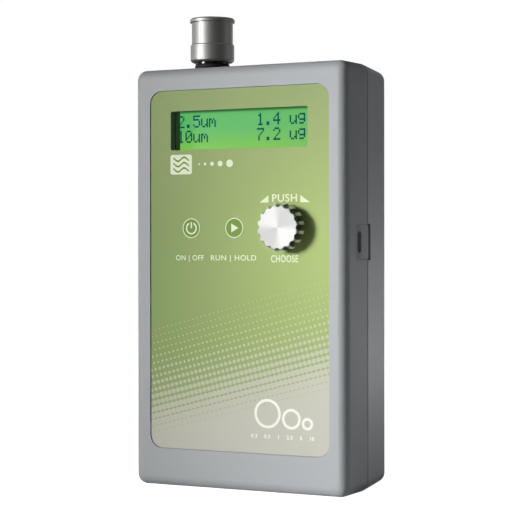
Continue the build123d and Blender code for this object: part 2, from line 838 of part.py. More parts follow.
# ================================================================ fasteners
def screw_y(x, z, head_y, direction, head_radius, head, radius, length):
    """Pan-head screw along Y.  direction is +1 where its tip points to the back."""
    tip = head_y + direction * length
    top = head_y - direction * head
    shank = rod_y(radius, x, z, min(head_y, tip), max(head_y, tip))
    cap = rod_y(head_radius, x, z, min(head_y, top), max(head_y, top))
    arms = ((head_radius, cross_recess), (cross_recess, head_radius))
    return shank + cap - joined([Pos(x, top, z) * Box(a, head, b) for a, b in arms])


def make_case_screws():
    head_y = seam_y + counterbore_floor
    return group([screw_y(x, z, head_y, -1, m3_head_radius, m3_head, m3_radius,
                          counterbore_floor + case_thread) for x, z in case_screw_points()])


def make_panel_screws():
    board = [(x, z, board_back_y) for x, z in board_screw_points()]
    display = [(x, z, display_back_y + board_thickness) for x, z in display_screw_points()]
    return group([screw_y(x, z, y, -1, m25_head_radius, m25_head, m25_radius, panel_screw_length)
                  for x, z, y in board + display])


def make_sensor_screws():
    length = cover_back_y - block_front + wall
    return group([screw_y(x, z, block_front, 1, m3_head_radius, m3_head, m3_radius, length)
                  for x, z in sensor_screw_points()])


def make_strap_screws():
    length = strap_sheet + inner_back_y - strap_seat_y + wall / 2 - seat_gap
    return group([screw_y(x, z, strap_seat_y - strap_sheet, 1, m3_head_radius, m3_head, m3_radius, length)
                  for x, z in strap_screw_points()])


# ================================================================ inlet nozzle
collar_base_top = skirt_bottom - collar_disc - 2 * seal_section


def make_inlet_nozzle():
    rim_bottom = nozzle_top - rim_height
    return turned([(nozzle_bore_radius, stem_top + fit_gap), (stem_radius + screw_gap, stem_top + fit_gap),
                   (stem_radius + screw_gap, skirt_bottom), (skirt_radius - skirt_chamfer, skirt_bottom),
                   (skirt_radius, skirt_bottom + skirt_chamfer), (skirt_radius, skirt_top - skirt_top_chamfer),
                   (skirt_radius - skirt_top_chamfer, skirt_top), (nozzle_radius, skirt_top),
                   (nozzle_radius, rim_bottom), (rim_radius, rim_bottom + rim_step),
                   (rim_radius, nozzle_top - rim_chamfer), (rim_radius - rim_chamfer, nozzle_top),
                   (mouth_radius, nozzle_top), (nozzle_bore_radius, nozzle_top - mouth_depth)],
                  nozzle_x, nozzle_y)


def make_nozzle_collar():
    disc_radius = collar_radius - collar_disc_inset
    groove = collar_radius - 2 * seal_section
    nut_bottom = case_height - nut_seat - nut_height
    stem_bottom = nut_bottom - stem_end
    barb_bottom = stem_bottom - barb_length
    return turned([(stem_bore_radius, stem_top), (stem_radius, stem_top), (stem_radius, skirt_bottom),
                   (disc_radius, skirt_bottom), (disc_radius, skirt_bottom - collar_disc),
                   (groove, skirt_bottom - collar_disc), (groove, collar_base_top),
                   (collar_radius, collar_base_top), (collar_radius, case_height), (stem_radius, case_height),
                   (stem_radius, stem_bottom), (barb_radius, stem_bottom), (barb_radius, barb_bottom),
                   (stem_bore_radius, barb_bottom)], nozzle_x, nozzle_y)


def make_nozzle_seal():
    middle = collar_base_top + seal_section
    section = Plane.XZ * Pos(collar_radius - seal_section, middle) * Circle(seal_section)
    return Pos(nozzle_x, nozzle_y, 0) * revolve(section, Axis.Z)


def make_nozzle_nut():
    top = case_height - nut_seat
    hexagon = RegularPolygon(nut_across / 2, 6, major_radius=False)
    nut = extrude(Plane.XY.offset(top - nut_height) * Pos(nozzle_x, nozzle_y) * hexagon, amount=nut_height)
    return nut - rod_z(stem_radius + screw_gap, nozzle_x, nozzle_y, top - nut_height, top)


# ================================================================ optical sensor
def make_sensor_block():
    body = block(block_left, block_right, block_front, block_back, block_bottom, block_top)
    body += rod_z(barb_radius, nozzle_x, nozzle_y, block_top, block_top + barb_length)
    body += rod_z(barb_radius, nozzle_x, nozzle_y, block_bottom - barb_length, block_bottom)
    body -= rod_z(stem_bore_radius, nozzle_x, nozzle_y, block_bottom - barb_length, block_top + barb_length)
    body -= rod_x(laser_radius + bore_fit, nozzle_y, sensor_z, block_right - laser_depth, block_right)
    body -= rod_x(beam_radius, nozzle_y, sensor_z, block_left, block_right)
    body -= rod_x(trap_radius + bore_fit, nozzle_y, sensor_z, block_left, block_left + trap_depth)
    body -= rod_y(detector_radius + bore_fit, nozzle_x, sensor_z, block_front, block_front + detector_depth)
    body -= rod_y(beam_radius, nozzle_x, sensor_z, block_front, block_back)
    body -= rod_y(chamber_radius, nozzle_x, sensor_z, chamber_front, block_back)
    body -= rod_y(mirror_radius + bore_fit, nozzle_x, sensor_z, block_back - mirror_thickness, block_back)
    for x, z in sensor_screw_points():
        body -= rod_y(m3_radius + pass_gap, x, z, block_front, block_back)
    return body


def make_sensor_cover():
    cover = block(block_left, block_right, block_back, cover_back_y, block_bottom, block_top)
    for x, z in sensor_screw_points():
        cover -= rod_y(m3_radius + pass_gap, x, z, block_back, cover_back_y)
    return cover


def make_laser_module():
    start = block_right - laser_depth
    barrel = rod_x(laser_radius, nozzle_y, sensor_z, start, start + laser_length)
    return barrel - rod_x(beam_radius, nozzle_y, sensor_z, start, start + laser_throat)


def make_light_trap():
    end = block_left + trap_depth
    plug = rod_x(trap_radius, nozzle_y, sensor_z, end - trap_length, end)
    cone = Cone(beam_radius, trap_cone_tip, trap_length - trap_floor,
                align=(Align.CENTER, Align.CENTER, Align.MIN))
    return plug - Pos(end, nozzle_y, sensor_z) * Rot(0, -90, 0) * cone


def make_collecting_mirror():
    disc = rod_y(mirror_radius, nozzle_x, sensor_z, block_back - mirror_thickness, block_back)
    centre_y = block_back - mirror_edge - mirror_curve
    return disc - Pos(nozzle_x, centre_y, sensor_z) * Sphere(mirror_curve)


def make_detector_board():
    return block(nozzle_x - detector_board_width / 2, nozzle_x + detector_board_width / 2,
                 block_front - board_thickness, block_front,
                 sensor_z - detector_board_height / 2, sensor_z + detector_board_height / 2)


def make_photodetector():
    return rod_y(detector_radius, nozzle_x, sensor_z, block_front, block_front + detector_depth - fit_gap)


# ================================================================ pump, filter and tubes
def make_pump_head():
    body = block(head_left, head_right, pump_y - head_depth / 2, pump_y + head_depth / 2,
                 head_top - head_height, head_top)
    body -= rod_x(crank_chamber_radius, pump_y, pump_z, head_left + head_wall, head_right)
    for x in (nozzle_x, outlet_x):
        body += rod_z(barb_radius, x, nozzle_y, head_top, head_top + barb_length)
        body -= rod_z(stem_bore_radius, x, nozzle_y, head_top - head_wall, head_top + barb_length)
    return body


def make_pump_motor():
    can = rod_x(motor_radius, pump_y, pump_z, head_right, head_right + motor_length)
    can += rod_x(motor_radius / 3, pump_y, pump_z, head_right + motor_length,
                 head_right + motor_length + motor_cap)
    return can - rod_x(crank_shaft_radius + plunger_fit, pump_y, pump_z, head_right,
                       head_right + crank_bearing + fit_gap)


def make_pump_crank():
    left = head_right - crank_gap - crank_width
    shaft = rod_x(crank_shaft_radius, pump_y, pump_z, left, head_right + crank_bearing)
    return shaft + rod_x(crank_radius, pump_y, pump_z - crank_offset, left, head_right - crank_gap)


def make_filter():
    right = filter_left + filter_length
    body = rod_x(filter_radius, nozzle_y, filter_z, filter_left + filter_end, right - filter_end)
    body += rod_x(filter_end_radius, nozzle_y, filter_z, filter_left, right)
    body += rod_x(barb_radius, nozzle_y, filter_z, filter_left - barb_length, filter_left)
    body += rod_x(barb_radius, nozzle_y, filter_z, right, right + barb_length)
    body -= rod_x(stem_bore_radius, nozzle_y, filter_z, right - filter_port_depth, right + barb_length)
    return body - rod_x(stem_bore_radius, nozzle_y, filter_z, filter_left - barb_length,
                        filter_left + filter_port_depth)


def straight_tube(z_from, z_to):
    outer = rod_z(tube_radius, nozzle_x, nozzle_y, z_from, z_to)
    return outer - rod_z(barb_radius + screw_gap, nozzle_x, nozzle_y, z_from, z_to)


def make_inlet_tube():
    stem_bottom = case_height - nut_seat - nut_height - stem_end
    return straight_tube(block_top + tube_stop, stem_bottom - tube_stop)


def make_suction_tube():
    return straight_tube(head_top + tube_stop, block_bottom - tube_stop)


def make_exhaust_tube():
    """Tube from the pump's outlet, up and round to the filter."""
    start = head_top + tube_stop
    end = filter_left - tube_stop
    path = Polyline((outlet_x, nozzle_y, start), (outlet_x, nozzle_y, filter_z), (end, nozzle_y, filter_z))
    corner = path.vertices().sort_by_distance((outlet_x, nozzle_y, filter_z))[0]
    path = fillet(corner, tube_bend)
    section = Plane(origin=(outlet_x, nozzle_y, start), z_dir=(0, 0, 1))
    outer = sweep(section * Circle(tube_radius), path=path)
    return outer - sweep(section * Circle(barb_radius + screw_gap), path=path)


# ================================================================ battery and straps
def make_battery_pack():
    bottom = battery_bottom + cell_radius
    outline = Plane.YZ.offset(-battery_length / 2) * Pos(cell_y, bottom + cell_radius) * Rot(0, 0, 90) \
        * SlotOverall(4 * cell_radius, 2 * cell_radius)
    return extrude(outline, amount=battery_length)


def strap(x, outer_outline, inner_outline, low, high):
    """Sheet strap over a unit: a hoop cut off at the feet, which lie on their bosses."""
    left = x - strap_width / 2
    hoop = extrude(Plane.YZ.offset(left) * (outer_outline - inner_outline), amount=strap_width)
    keep = block(left, left + strap_width, -case_height, strap_seat_y, 0, case_height)
    feet = [block(left, left + strap_width, strap_seat_y - strap_sheet, strap_seat_y, z0, z1)
            for z0, z1 in ((low - strap_foot, low), (high, high + strap_foot))]
    body = (hoop & keep) + feet[0] + feet[1]
    for screw_x, screw_z in strap_screw_points():
        if screw_x == x:
            body -= rod_y(m3_radius + pass_gap, screw_x, screw_z, strap_seat_y - strap_sheet, strap_seat_y)
    return body


def make_battery_strap():
    middle = battery_bottom + 2 * cell_radius
    reach = 2 * (cell_radius + strap_sheet)
    centre = Pos(cell_y, middle)
    height = 4 * cell_radius + 2 * strap_sheet
    outer = centre * Rectangle(reach, height) + Pos(cell_y + cell_radius, middle) * Rectangle(reach, height)
    inner = centre * Rectangle(reach - 2 * strap_sheet + strap_slack, height - 2 * strap_sheet) \
        + Pos(cell_y + cell_radius, middle) * Rectangle(reach, height - 2 * strap_sheet)
    return strap(battery_strap_x, outer, inner, middle - height / 2 + strap_sheet,
                 middle + height / 2 - strap_sheet)


def make_pump_strap():
    outer_radius = motor_radius + strap_sheet + fit_gap
    inner_radius = motor_radius + fit_gap
    centre = Pos(pump_y, pump_z)
    back = Pos(pump_y + motor_radius, pump_z)
    outer = centre * Circle(outer_radius) + back * Rectangle(2 * motor_radius, 2 * outer_radius)
    inner = centre * Circle(inner_radius) + back * Rectangle(2 * motor_radius, 2 * inner_radius)
    return strap(pump_strap_x, outer, inner, pump_z - inner_radius, pump_z + inner_radius)


# ================================================================ export
parts = {
    "front_shell": make_front_shell(),
    "rear_shell": make_rear_shell(),
    "front_label": make_front_label(),
    "display_window": make_display_window(),
    "display_gasket": make_display_gasket(),
    "lcd_bezel": make_lcd_bezel(),
    "lcd_glass": make_lcd_glass(),
    "lcd_backlight": make_lcd_backlight(),
    "lcd_board": make_lcd_board(),
    "main_board": make_main_board(),
    "board_parts": make_board_parts(),
    "knob": make_knob(),
    "knob_set_screw": make_set_screw(),
    "encoder_shaft": make_encoder_shaft(),
    "encoder_rotor": make_encoder_rotor(),
    "encoder_body": make_encoder_body(),
    "encoder_base": make_encoder_base(),
    "usb_socket": make_usb_socket(),
    "charger_jack": make_charger_jack(),
    "flow_trimmer_body": make_trimmer_body(),
    "flow_trimmer_screw": make_trimmer_screw(),
    "inlet_nozzle": make_inlet_nozzle(),
    "nozzle_collar": make_nozzle_collar(),
    "nozzle_seal": make_nozzle_seal(),
    "nozzle_nut": make_nozzle_nut(),
    "sensor_block": make_sensor_block(),
    "sensor_cover": make_sensor_cover(),
    "laser_module": make_laser_module(),
    "light_trap": make_light_trap(),
    "collecting_mirror": make_collecting_mirror(),
    "detector_board": make_detector_board(),
    "photodetector": make_photodetector(),
    "pump_head": make_pump_head(),
    "pump_motor": make_pump_motor(),
    "pump_crank": make_pump_crank(),
    "exhaust_filter": make_filter(),
    "inlet_tube": make_inlet_tube(),
    "suction_tube": make_suction_tube(),
    "exhaust_tube": make_exhaust_tube(),
    "battery_pack": make_battery_pack(),
    "battery_strap": make_battery_strap(),
    "pump_strap": make_pump_strap(),
    "case_screws": make_case_screws(),
    "panel_screws": make_panel_screws(),
    "sensor_screws": make_sensor_screws(),
    "strap_screws": make_strap_screws(),
}
for key_name, key_x in key_xs.items():
    parts[f"{key_name}_key"] = make_key(key_x)
    parts[f"{key_name}_plunger"] = make_plunger(key_x)
    parts[f"{key_name}_switch"] = make_switch(key_x)

os.makedirs("parts", exist_ok=True)
for name, shape in parts.items():
    export_step(shape, f"parts/{name}.step")
    print(name, len(shape.solids()), round(shape.volume, 1))
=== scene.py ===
import bpy
from math import cos, pi, radians, sin
from mathutils import Matrix, Vector


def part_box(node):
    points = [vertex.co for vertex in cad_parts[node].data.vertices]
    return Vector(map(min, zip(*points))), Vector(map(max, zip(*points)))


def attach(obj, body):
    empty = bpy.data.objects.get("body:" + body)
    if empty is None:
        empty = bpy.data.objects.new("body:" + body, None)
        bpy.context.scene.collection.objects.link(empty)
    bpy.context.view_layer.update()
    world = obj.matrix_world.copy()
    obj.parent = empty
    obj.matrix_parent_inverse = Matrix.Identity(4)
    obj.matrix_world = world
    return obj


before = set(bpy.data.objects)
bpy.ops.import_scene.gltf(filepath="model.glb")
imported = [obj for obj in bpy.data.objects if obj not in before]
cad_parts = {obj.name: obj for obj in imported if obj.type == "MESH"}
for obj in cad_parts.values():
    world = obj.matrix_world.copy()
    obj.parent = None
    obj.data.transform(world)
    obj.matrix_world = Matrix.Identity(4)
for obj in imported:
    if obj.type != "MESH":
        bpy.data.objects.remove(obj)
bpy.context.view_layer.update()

# ---------------------------------------------------------------- the studio
# The counter stands on a plain white sweep and is seen level, from the front and a little to its
# right.  A soft light with a narrow beam stands to its left; the others are weak and fill its sides.

eye = bpy.data.objects.new("eye", bpy.data.cameras.new("eye"))
bpy.context.scene.collection.objects.link(eye)
bpy.context.scene.camera = eye
eye_azimuth, eye_height_angle, eye_tilt = radians(27.0), radians(0.305), radians(-0.065)
eye_place = (0.301371, -0.596579, 0.09492)
to_eye = Vector((sin(eye_azimuth) * cos(eye_height_angle), -cos(eye_azimuth) * cos(eye_height_angle),
                 sin(eye_height_angle)))
eye_right = Vector((cos(eye_azimuth), sin(eye_azimuth), 0.0))
eye_up = to_eye.cross(eye_right)
tilted_right = eye_right * cos(eye_tilt) + eye_up * sin(eye_tilt)
tilted_up = eye_up * cos(eye_tilt) - eye_right * sin(eye_tilt)
eye.matrix_world = (Matrix.Translation(eye_place)
                    @ Matrix((tilted_right, tilted_up, to_eye)).transposed().to_4x4())
eye.data.sensor_width = 36.0
eye.data.lens = 117.465
eye.data.clip_start = 0.01
eye.data.clip_end = 30.0

scene = bpy.context.scene
scene.view_settings.view_transform = "Standard"
scene.view_settings.look = "None"


class Wire:
    """One socket of a shader's nodes.  A sum written with it adds the Math nodes that work it out."""

    def __init__(self, tree, socket=None):
        self.tree = tree
        self.socket = socket

    def node(self, kind, settings=None, inputs=None, output=0):
        """Adds a node of one kind: its settings first, then the values or wires of its sockets."""
        made = self.tree.nodes.new(kind)
        for name, value in (settings or {}).items():
            if name == "stops":
                stops = made.color_ramp.elements
                stops[0].position, stops[0].color = value[0]
                stops[1].position, stops[1].color = value[-1]
                for position, color in value[1:-1]:
                    stops.new(position).color = color
            else:
                setattr(made, name, value)
        for name, value in (inputs or {}).items():
            if isinstance(value, Wire):
                self.tree.links.new(value.socket, made.inputs[name])
            else:
                made.inputs[name].default_value = value
        return Wire(self.tree, made.outputs[output])

    def math(self, operation, *values):
        return self.node("ShaderNodeMath", {"operation": operation}, dict(enumerate(values)))

    def __add__(self, other):
        return self.math("ADD", self, other)

    def __sub__(self, other):
        return self.math("SUBTRACT", self, other)

    def __rsub__(self, other):
        return self.math("SUBTRACT", other, self)

    def __mul__(self, other):
        return self.math("MULTIPLY", self, other)

    def __truediv__(self, other):
        return self.math("DIVIDE", self, other)

    def whole(self):
        return self.math("FLOOR", self)

    def part(self):
        return self.math("FRACT", self)

    def root(self):
        return self.math("SQRT", self)

    def wave(self):
        return self.math("SINE", self)

    __radd__ = __add__
    __rmul__ = __mul__


def paint(red, green, blue):
    """A screen colour, 0 to 255, as the linear colour that a shader takes."""
    return tuple((c / 255 / 12.92 if c < 11 else ((c / 255 + 0.055) / 1.055) ** 2.4)
                 for c in (red, green, blue)) + (1.0,)


def new_finish(name, fixed):
    """A material with one Principled shader, and the wire that its nodes start from."""
    made = bpy.data.materials.new(name)
    made.use_nodes = True
    feed(made, fixed)
    return made, Wire(made.node_tree)


def feed(finish, inputs):
    """Sets or links sockets of a material's Principled shader."""
    shader = finish.node_tree.nodes["Principled BSDF"]
    for name, value in inputs.items():
        if isinstance(value, Wire):
            finish.node_tree.links.new(value.socket, shader.inputs[name])
        else:
            shader.inputs[name].default_value = value


def softbox(name, azimuth, rise, distance, width, tall, watts, aim=(0.0, 0.0, 0.095), spread=180.0):
    """A soft rectangular light at an angle round the counter, turned towards a point near it."""
    lamp = bpy.data.objects.new(name, bpy.data.lights.new(name, "AREA"))
    bpy.context.scene.collection.objects.link(lamp)
    lamp.data.shape = "RECTANGLE"
    lamp.data.size = width
    lamp.data.size_y = tall
    lamp.data.energy = watts
    lamp.data.spread = radians(spread)
    lamp.visible_camera = False
    turn = radians(azimuth)
    lamp.location = Vector(aim) + Vector((distance * sin(turn), -distance * cos(turn), rise))
    lamp.rotation_mode = "QUATERNION"
    lamp.rotation_quaternion = (Vector(aim) - lamp.location).to_track_quat("-Z", "Y")


softbox("key_light", -43.0, 0.17, 0.95, 0.30, 0.34, 0.62, aim=(0.195, 0.0, 0.058), spread=25.0)
softbox("left_light", -105.0, 0.10, 0.90, 0.60, 0.80, 1.2)
softbox("front_light", 12.0, 0.12, 1.20, 0.36, 0.60, 0.21)
softbox("right_light", 75.0, 0.30, 0.90, 0.50, 0.60, 0.13)
softbox("top_light", 120.0, 1.10, 0.30, 0.50, 0.40, 0.70)
softbox("right_back_light", 120.0, 0.0, 0.80, 0.30, 0.50, 0.40)
softbox("back_light", 180.0, 0.10, 0.90, 0.25, 0.60, 0.72)
softbox("low_back_light", 165.0, -0.05, 0.60, 0.25, 0.10, 0.50, aim=(0.0, 0.0, 0.06))

world = bpy.data.worlds.new("room")
bpy.context.scene.world = world
world.use_nodes = True
room = Wire(world.node_tree)
seen = room.node("ShaderNodeLightPath", output="Is Camera Ray")
room_colour = seen.node("ShaderNodeMix", {"data_type": "RGBA"},
                        {0: seen, 6: (0.01, 0.01, 0.01, 1.0), 7: (1.0, 1.0, 1.0, 1.0)}, output=2)
world.node_tree.links.new(room_colour.socket, world.node_tree.nodes["Background"].inputs["Color"])

bpy.ops.object.select_all(action="DESELECT")
bpy.ops.mesh.primitive_grid_add(x_subdivisions=4, y_subdivisions=4, size=12.0)
floor = bpy.context.active_object
floor.name = "floor"
floor_white, start = new_finish("floor_white", {"Roughness": 0.9, "Emission Color": (1.0, 1.0, 1.0, 1.0)})
place = start.node("ShaderNodeTexCoord", output="Object")
cloud = place.node("ShaderNodeTexNoise", None, {"Vector": place, "Scale": 3.0})
grey = cloud.node("ShaderNodeMix", {"data_type": "RGBA"},
                  {0: cloud, 6: (0.80, 0.80, 0.80, 1.0), 7: (0.84, 0.84, 0.84, 1.0)}, output=2)
feed(floor_white, {"Base Color": grey,
                   "Emission Strength": start.node("ShaderNodeLightPath", output="Is Camera Ray")})
floor.data.materials.append(floor_white)

# ---------------------------------------------------------------- case shells
# Two mouldings of grey ABS meet at an upright seam.  Their skin has the fine grain of a spark-eroded
# mould, a little cloudy in colour, and slightly smoother where hands have held it.


def points_of(start):
    """The place on the object in millimetres, as a vector and as its three parts."""
    place = start.node("ShaderNodeTexCoord", output="Object")
    place = place.node("ShaderNodeVectorMath", {"operation": "SCALE"}, {0: place, "Scale": 1000.0})
    return [place] + [place.node("ShaderNodeSeparateXYZ", None, {0: place}, output=i) for i in range(3)]


def mottle(place, scale, detail=2.0):
    """Noise from 0 to 1, with this many patches to the millimetre."""
    return place.node("ShaderNodeTexNoise", None, {"Vector": place, "Scale": scale, "Detail": detail})


def blended(share, first, second):
    """From the first colour at 0 to the second at 1."""
    return share.node("ShaderNodeMix", {"data_type": "RGBA"}, {0: share, 6: first, 7: second}, output=2)


def step(value, low, high):
    """Rises smoothly from 0 to 1 between two values."""
    return value.node("ShaderNodeMapRange", {"interpolation_type": "SMOOTHSTEP"},
                      {0: value, 1: low, 2: high, 3: 0.0, 4: 1.0})


def relief(height, depth, under=None):
    """A normal from a height of 0 to 1, which is this many millimetres deep."""
    inputs = {"Height": height, "Distance": depth / 1000.0, "Strength": 1.0}
    if under is not None:
        inputs["Normal"] = under
    return height.node("ShaderNodeBump", None, inputs)


def dress(finish, *nodes):
    """Puts a finish on CAD nodes, whose shapes stay as they are."""
    for name in nodes:
        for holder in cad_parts[name].material_slots:
            holder.material = finish


case_plastic, start = new_finish("case_plastic", {"Specular IOR Level": 0.42})
place, across, deep, up = points_of(start)
cloud = mottle(place, 0.035, 3.0)
grain = mottle(place, 2.6, 2.0)
skin = blended(cloud, paint(158, 161, 163), paint(166, 169, 172))
skin = blended(step(grain, 0.30, 0.75) * 0.10, skin, paint(120, 124, 128))
feed(case_plastic, {"Base Color": skin, "Roughness": 0.50 + cloud * 0.10 - grain * 0.08,
                    "Normal": relief(grain, 0.030)})
dress(case_plastic, "front_shell", "rear_shell")

# A black cord lies in the groove between the shells as painted shade: it darkens the groove into a fine dark
# line.



def alone(piece):
    """Leaves one piece selected and active."""
    bpy.ops.object.select_all(action="DESELECT")
    piece.select_set(True)
    bpy.context.view_layer.objects.active = piece


def upright(piece, x, z, y):
    """Stands a flat drawing up to face the front, with its middle at a place in millimetres."""
    piece.data.transform(Matrix.Translation((x / 1000, y, z / 1000)) @ Matrix.Rotation(pi / 2, 4, "X"))
    piece.data.update()


def thicken(piece, thickness):
    """Gives a flat drawing its thickness, towards its viewer."""
    alone(piece)
    sheet = piece.modifiers.new("thickness", "SOLIDIFY")
    sheet.thickness = thickness
    sheet.offset = 1.0
    bpy.ops.object.modifier_apply(modifier=sheet.name)


def drawn_plate(width, height, corner):
    """A flat rectangle with rounded corners: a plane whose four corners are bevelled."""
    bpy.ops.object.select_all(action="DESELECT")
    bpy.ops.mesh.primitive_plane_add(size=0.001)
    flat = bpy.context.active_object
    flat.data.transform(Matrix.Diagonal((width, height, 1, 1)))
    bpy.ops.object.mode_set(mode="EDIT")
    bpy.ops.mesh.select_all(action="SELECT")
    bpy.ops.mesh.bevel(offset=corner / 1000, segments=6, affect="VERTICES")
    bpy.ops.object.mode_set(mode="OBJECT")
    return flat


def hollowed(drawing, border):
    """Leaves only a border of a flat drawing: its face is inset and the middle taken away."""
    alone(drawing)
    bpy.ops.object.mode_set(mode="EDIT")
    bpy.ops.mesh.select_all(action="SELECT")
    bpy.ops.mesh.inset(thickness=border / 1000)
    bpy.ops.mesh.delete(type="FACE")
    bpy.ops.object.mode_set(mode="OBJECT")
    if drawing.data.polygons[0].normal.z < 0:
        drawing.data.flip_normals()
    return drawing


case_width, case_height = 93.3, 166.0
cord_inset, cord_width, cord_corner, cord_thickness = 0.12, 0.66, 3.9, 0.00036
seam_shade_cord = hollowed(drawn_plate(case_width - 2 * cord_inset, case_height - 2 * cord_inset, cord_corner),
                     cord_width)
seam_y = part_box("front_shell")[1].y - 0.00002
upright(seam_shade_cord, 0.0, case_height / 2, seam_y)
thicken(seam_shade_cord, cord_thickness)
seam_shade_cord.name = "seam_shade_cord"
seam_shade_cord.data.name = "seam_shade_cord"
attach(seam_shade_cord, "case")
# The cord's near-black colour is painted shade for the groove.
seam_painted_shade, start = new_finish("seam_painted_shade", {"Specular IOR Level": 0.1})
place = points_of(start)[0]
cells = mottle(place, 3.0)
feed(seam_painted_shade, {"Base Color": blended(cells, paint(20, 20, 21), paint(34, 34, 35)),
                 "Roughness": 0.85 + cells * 0.1, "Normal": relief(cells, 0.02)})
seam_shade_cord.data.materials.append(seam_painted_shade)

# ---------------------------------------------------------------- printed panel
# One sheet of clear polycarbonate film, printed from behind and stuck in the recess of the front.
# The ink is green above and stone below, and fields of halftone dots run from one to the other.
# The green is darker at the left and lighter at the right: partly the print's own tone, partly painted light.

panel_print, start = new_finish("panel_print", {"Specular IOR Level": 0.12})
place, across, deep, up = points_of(start)
row_angle = radians(14.9)
dot_pitch, dot_start, row_pitch, row_start = 1.963, 0.82, 2.547, 44.0
top_row, faded_rows, dot_edge = 10, 18.0, 0.18
along = across * cos(row_angle) + up * sin(row_angle)
over = (up * cos(row_angle) - across * sin(row_angle) - row_start) / row_pitch
row = (over + 0.5).whole()
aside = ((along / dot_pitch - dot_start + 0.5).part() - 0.5) * dot_pitch
above = (over - row) * row_pitch
size_step = ((top_row - row) * 0.5).whole()
dot_size = size_step * size_step * 0.012 + size_step * 0.075 + 0.25
inked = step(dot_size - (aside * aside + above * above).root(), -dot_edge, dot_edge)
inked = inked * step(top_row + 0.5 - row, 0.0, 0.2)
faded = (top_row - over) / faded_rows
# The green's change from left to right is partly print and partly painted light.
right_green_and_painted_light = blended(step(up, 35.0, 100.0), paint(152, 171, 105), paint(166, 186, 115))
green = blended(step(across, -45.0, 45.0), paint(140, 161, 101), right_green_and_painted_light)
green = blended(step(up, 95.0, 165.0), green, paint(150, 168, 112))
field = blended(step(faded, 0.2, 0.9), green, paint(158, 168, 134))
dots = blended(step(faded, 0.1, 1.0), paint(180, 192, 140), paint(190, 189, 178))
artwork_and_painted_light = blended(inked, field, dots)
tooth = mottle(place, 1.6, 2.0)
artwork_and_painted_light = blended(tooth * 0.06, artwork_and_painted_light, paint(110, 122, 84))
feed(panel_print, {"Base Color": artwork_and_painted_light, "Roughness": 0.50 + tooth * 0.08, "Normal": relief(tooth, 0.010)})
dress(panel_print, "front_label", "power_key", "start_key")

# ---------------------------------------------------------------- printing on the panel
# Pale ink on the panel: a pictogram of air passing a sensor, the words and arrows of the controls,
# three rings that stand for grains of dust, and a rule with the sizes that are counted.

panel_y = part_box("front_label")[0].y
ink_thickness = 0.00003


def drawn_shape(corners):
    """A flat shape with these corners, in millimetres."""
    bpy.ops.object.select_all(action="DESELECT")
    bpy.ops.mesh.primitive_circle_add(vertices=len(corners), radius=0.001, fill_type="NGON")
    shape = bpy.context.active_object
    for vertex, (x, y) in zip(shape.data.vertices, corners):
        vertex.co = (x / 1000, y / 1000, 0.0)
    if shape.data.polygons[0].normal.z < 0:
        shape.data.flip_normals()
    return shape


def drawn_disc(radius, sides=48):
    """A flat disc with this radius in millimetres."""
    bpy.ops.object.select_all(action="DESELECT")
    bpy.ops.mesh.primitive_circle_add(vertices=sides, radius=radius / 1000, fill_type="NGON")
    return bpy.context.active_object


def drawn_ring(outer, inner):
    """A flat ring between two radii in millimetres."""
    return hollowed(drawn_disc(outer, 64), outer - inner)


def drawn_words(words, cap_height, width):
    """Lettering as flat shapes, with capitals this high and the whole this wide, centred."""
    bpy.ops.object.select_all(action="DESELECT")
    bpy.ops.object.text_add()
    text = bpy.context.active_object
    text.data.body = words
    text.data.size = cap_height / 1000 / 0.72
    text.data.offset = 0.00005
    text.data.space_character = 1.1
    text.data.resolution_u = 4
    bpy.ops.object.convert(target="MESH")
    bpy.ops.object.shade_flat()
    text = bpy.context.active_object
    low = [min(v.co[i] for v in text.data.vertices) for i in (0, 1)]
    high = [max(v.co[i] for v in text.data.vertices) for i in (0, 1)]
    middle = Vector(((low[0] + high[0]) / 2, (low[1] + high[1]) / 2, 0.0))
    fit = Matrix.Diagonal((width / 1000 / (high[0] - low[0]), cap_height / 1000 / (high[1] - low[1]), 1, 1))
    text.data.transform(fit @ Matrix.Translation(-middle))
    return text


def drawn_strip(length, width, wave_height, waves):
    """A flat strip in waves: a fine grid whose columns are moved up and down."""
    bpy.ops.object.select_all(action="DESELECT")
    bpy.ops.mesh.primitive_grid_add(x_subdivisions=36, y_subdivisions=1, size=0.001)
    strip = bpy.context.active_object
    for vertex in strip.data.vertices:
        swing = sin(vertex.co.x * 1000 * 2 * pi * waves)
        vertex.co = (vertex.co.x * length, vertex.co.y * width + wave_height / 1000 * swing, 0.0)
    return strip


def printed(name, drawings, body, ink):
    """Joins flat drawings that stand in their places into one thin print on a body."""
    bpy.ops.object.select_all(action="DESELECT")
    for drawing in drawings:
        drawing.select_set(True)
    bpy.context.view_layer.objects.active = drawings[0]
    if len(drawings) > 1:
        bpy.ops.object.join()
    print_piece = bpy.context.active_object
    print_piece.name = name
    print_piece.data.name = name
    thicken(print_piece, ink_thickness)
    print_piece.data.materials.clear()
    print_piece.data.materials.append(ink)
    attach(print_piece, body)
    return print_piece


def standing(drawing, x, z, raised=0.0):
    """Stands a drawing on the face of the panel, or raised above it on another print."""
    upright(drawing, x, z, panel_y - raised)
    return drawing


pale_ink, start = new_finish("pale_ink", {"Specular IOR Level": 0.3})
place, across, deep, up = points_of(start)
speck = mottle(place, 2.0, 2.0)
pale = blended(step(up, 40.0, 80.0), paint(236, 236, 226), paint(224, 232, 200))
feed(pale_ink, {"Base Color": blended(speck * 0.2, pale, paint(190, 200, 168)),
                "Roughness": 0.45 + speck * 0.1, "Normal": relief(speck, 0.006)})

green_ink, start = new_finish("green_ink", {"Specular IOR Level": 0.12})
place = points_of(start)[0]
speck = mottle(place, 1.6)
feed(green_ink, {"Base Color": blended(speck, paint(112, 144, 58), paint(122, 152, 68)),
                 "Roughness": 0.46 + speck * 0.08})

